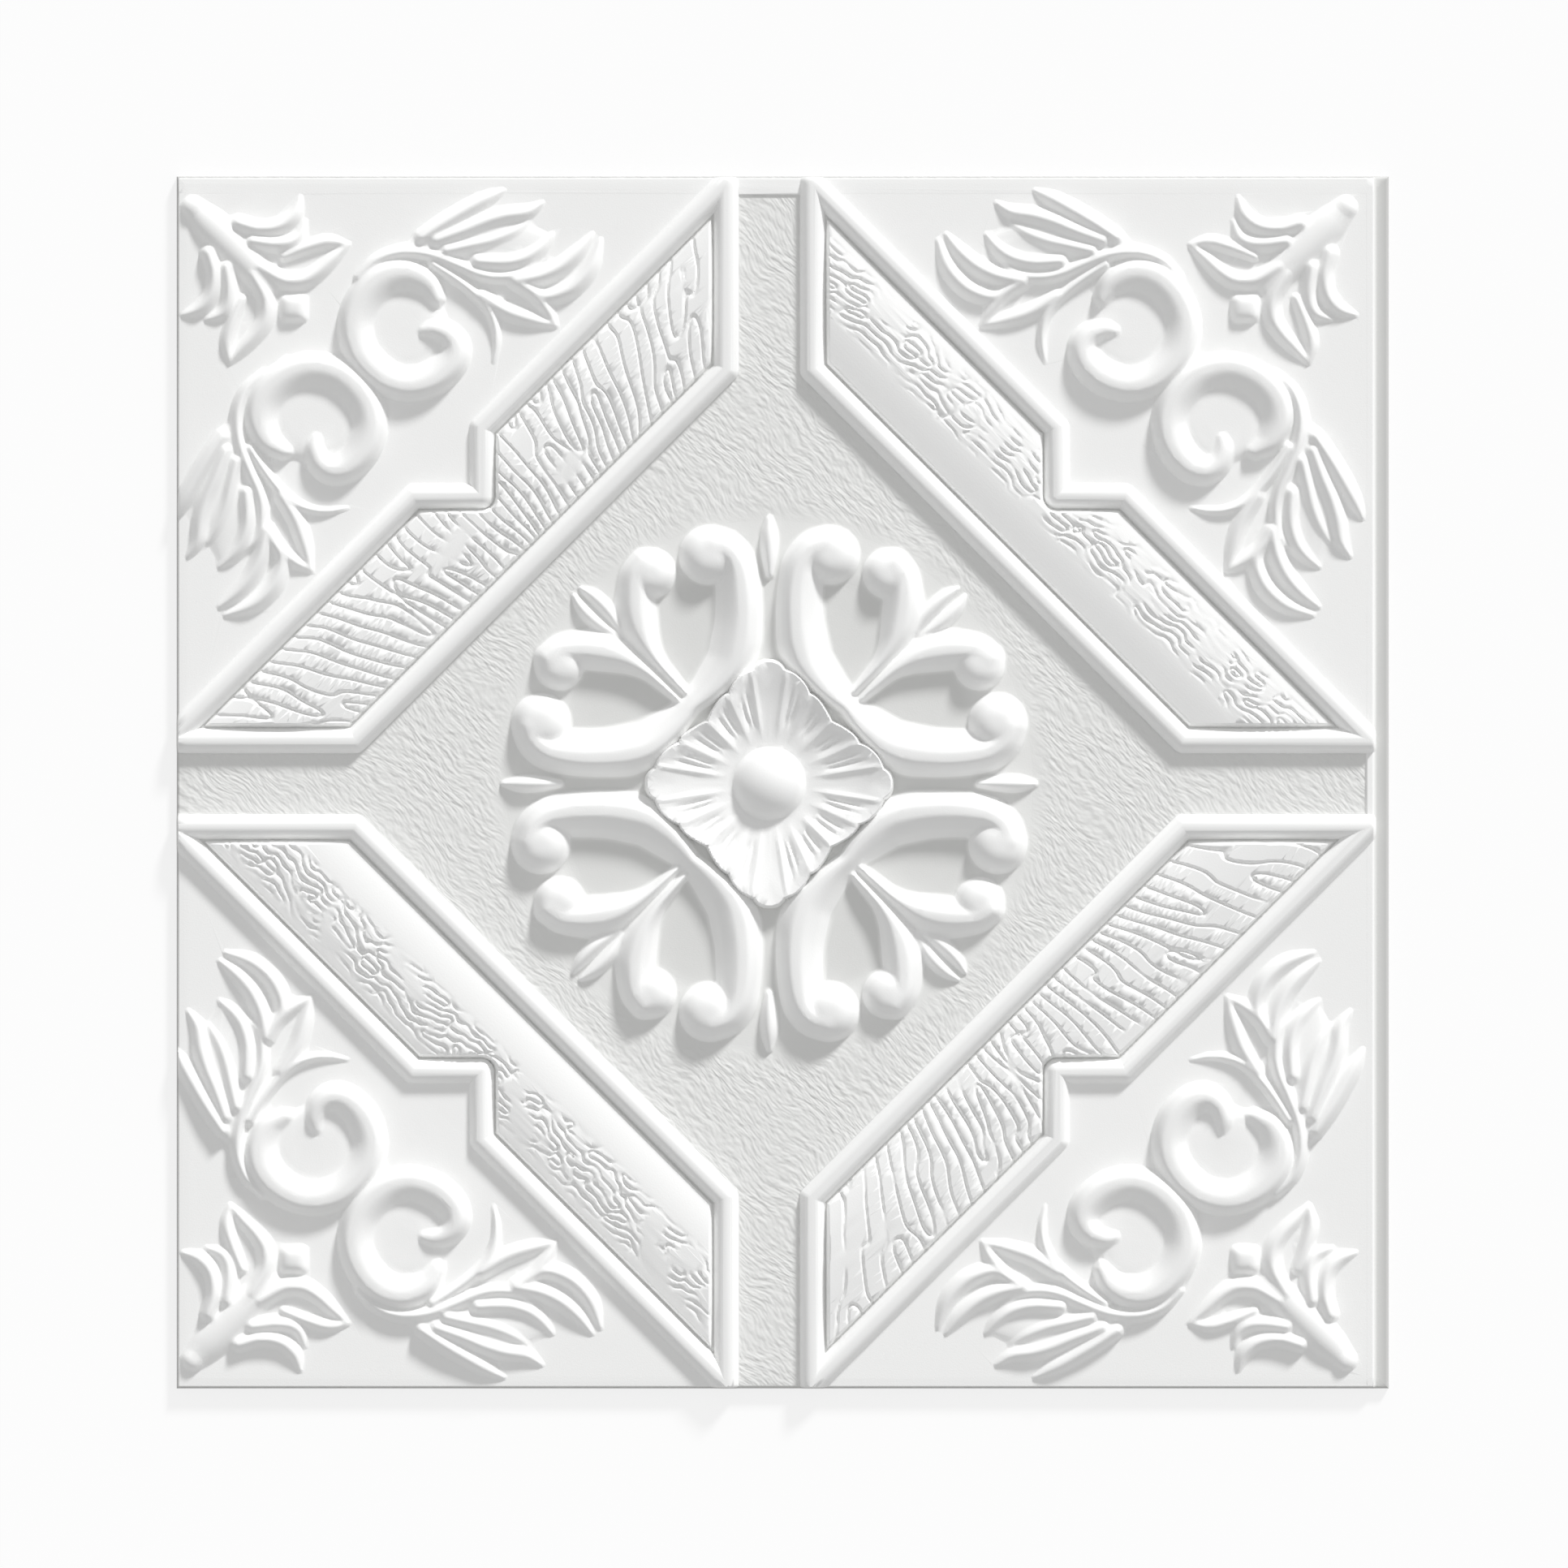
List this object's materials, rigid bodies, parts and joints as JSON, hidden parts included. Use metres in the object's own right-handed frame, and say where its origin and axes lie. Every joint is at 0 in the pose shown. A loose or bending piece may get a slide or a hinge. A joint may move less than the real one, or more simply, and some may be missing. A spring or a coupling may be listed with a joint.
{
  "type": "foam ceiling panel",
  "caption": "Square moulded foam ceiling panel with a flat back and a raised rosette, framed bands and corner scrolls, stuck up edge to edge with its neighbours.",
  "frame": {"origin": "middle of the flat back, halfway between the edges", "axes": "+Z out of the ornamented face, +X to the right and +Y up as the ornament is seen in the picture"},
  "size_m": [0.35, 0.35, 0.009],
  "materials": {
    "foam": "matte"
  },
  "bodies": {
    "root": {"ceiling_panel": "foam"}
  },
  "joints": []
}
